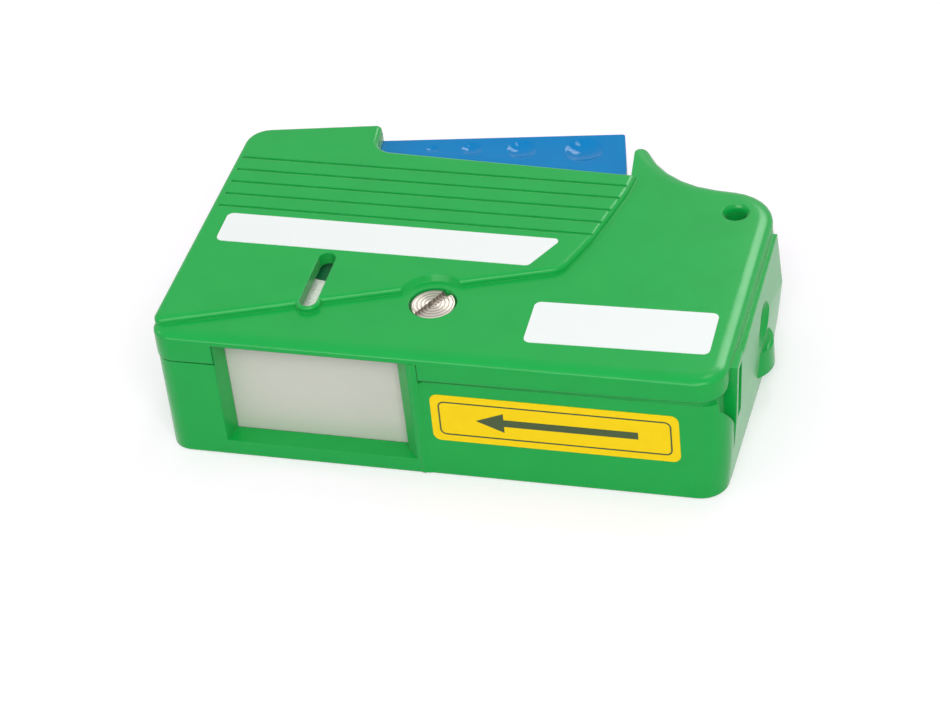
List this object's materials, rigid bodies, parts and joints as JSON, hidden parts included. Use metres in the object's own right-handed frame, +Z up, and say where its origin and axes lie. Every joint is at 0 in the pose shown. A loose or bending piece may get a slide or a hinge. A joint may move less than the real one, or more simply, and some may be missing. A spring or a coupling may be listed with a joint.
{
  "type": "fibre optic cleaning cassette",
  "caption": "Hand-held two-part plastic cassette with a thumb lever that opens a window shutter and winds lint-free tape past a pad to clean fibre connector ends.",
  "frame": {"origin": "centre of the flat underside, which rests on the table: mid-width, mid-depth, at the table's height", "axes": "+X to the right along the front edge, +Y from the front, with its window, to the back, with the lever, +Z up"},
  "size_m": [0.1323, 0.0894, 0.0351],
  "materials": {
    "green_plastic": "satin moulded ABS with a fine spark-eroded texture",
    "blue_plastic": "semi-gloss moulded ABS",
    "label_white": "matt white vinyl film",
    "label_yellow": "satin yellow vinyl film",
    "print_green": "dark green screen print",
    "bright_steel": "turned, nickel-plated steel",
    "brass": "turned brass, knurled outside",
    "shutter_grey": "satin light grey moulded plastic",
    "white_acetal": "natural acetal, as moulded",
    "black_plastic": "matt black moulded plastic",
    "pad_rubber": "soft closed-cell rubber",
    "cleaning_tape": "lint-free woven microfibre tape",
    "felt": "pressed felt",
    "spring_steel": "drawn spring wire"
  },
  "bodies": {
    "case": {"case_base": "green_plastic", "threaded_insert": "brass", "arrow_label": "label_yellow", "arrow_print": "print_green", "lever_pivot_pin": "bright_steel", "lever_return_spring": "spring_steel", "rocker_pin": "bright_steel", "pad_platform": "white_acetal", "backing_pad": "pad_rubber", "tape_web": "cleaning_tape", "supply_felt_washer": "felt", "check_pawl_pin": "bright_steel", "roller_pin_left": "bright_steel", "roller_pin_right": "bright_steel"},
    "cover": {"top_cover": "green_plastic", "title_label": "label_white", "maker_label": "label_white"},
    "screw": {"coin_screw": "bright_steel", "screw_retaining_ring": "spring_steel"},
    "lever": {"lever": "blue_plastic", "drive_pawl_pin": "bright_steel"},
    "shutter": {"shutter_plate": "shutter_grey"},
    "rocker": {"shutter_rocker": "white_acetal"},
    "supply_reel": {"supply_hub": "black_plastic", "supply_roll": "cleaning_tape"},
    "takeup_reel": {"takeup_hub": "black_plastic", "takeup_roll": "cleaning_tape", "ratchet_wheel": "white_acetal"},
    "drive_pawl": {"drive_pawl": "white_acetal"},
    "check_pawl": {"check_pawl": "white_acetal"},
    "left_roller": {"guide_roller_left": "white_acetal"},
    "right_roller": {"guide_roller_right": "white_acetal"}
  },
  "joints": [
    {"name": "lever_press", "type": "hinge", "parent": "case", "child": "lever", "pos_m": [-0.039, 0.02762, 0], "axis": [0, 0, 1], "range_deg": [-11, 0], "stiffness_Nm_per_rad": 0.35, "springref_deg": 20.05, "deforming": ["lever_return_spring"]},
    {"name": "takeup_turn", "type": "hinge", "parent": "case", "child": "takeup_reel", "pos_m": [0.039, -0.01039, 0], "axis": [0, 0, 1], "range_deg": [0, 29.98]},
    {"name": "supply_turn", "type": "hinge", "parent": "case", "child": "supply_reel", "pos_m": [-0.03198, -0.00533, 0], "axis": [0, 0, 1], "range_deg": [0, 19.09]},
    {"name": "drive_pawl_swing", "type": "hinge", "parent": "lever", "child": "drive_pawl", "pos_m": [0.00699, 0.0246, 0], "axis": [0, 0, 1], "range_deg": [0, 12.82]},
    {"name": "check_pawl_lift", "type": "hinge", "parent": "case", "child": "check_pawl", "pos_m": [0.0545, 0.0074, 0], "axis": [0, 0, 1], "range_deg": [-15.13, 0]},
    {"name": "rocker_swing", "type": "hinge", "parent": "case", "child": "rocker", "pos_m": [0.01979, 0.01241, 0], "axis": [0, 0, 1], "range_deg": [0, 50]},
    {"name": "shutter_slide", "type": "slide", "parent": "case", "child": "shutter", "axis": [1, 0, 0], "range_m": [0, 0.04071]},
    {"name": "left_roller_turn", "type": "hinge", "parent": "case", "child": "left_roller", "pos_m": [-0.053, -0.0334, 0], "axis": [0, 0, 1], "range_deg": [0, 143.57]},
    {"name": "right_roller_turn", "type": "hinge", "parent": "case", "child": "right_roller", "pos_m": [-0.005, -0.0334, 0], "axis": [0, 0, 1], "range_deg": [0, 143.57]},
    {"name": "cover_lift", "type": "slide", "parent": "case", "child": "cover", "axis": [0, 0, 1], "range_m": [0, 0.045]},
    {"name": "screw_turn", "type": "hinge", "parent": "cover", "child": "screw", "pos_m": [-0.00425, -0.0255, 0], "axis": [0, 0, 1], "continuous": true}
  ],
  "couplings": [
    {"joint": "takeup_turn", "follows": "lever_press", "ratio": -2.68},
    {"joint": "supply_turn", "follows": "lever_press", "ratio": -1.69},
    {"joint": "drive_pawl_swing", "follows": "lever_press", "ratio": -1.12},
    {"joint": "check_pawl_lift", "follows": "lever_press", "ratio": 1.33},
    {"joint": "rocker_swing", "follows": "lever_press", "ratio": -4.5},
    {"joint": "shutter_slide", "follows": "lever_press", "m_per_rad": -0.2105},
    {"joint": "left_roller_turn", "follows": "lever_press", "ratio": -12.87},
    {"joint": "right_roller_turn", "follows": "lever_press", "ratio": -12.87}
  ]
}
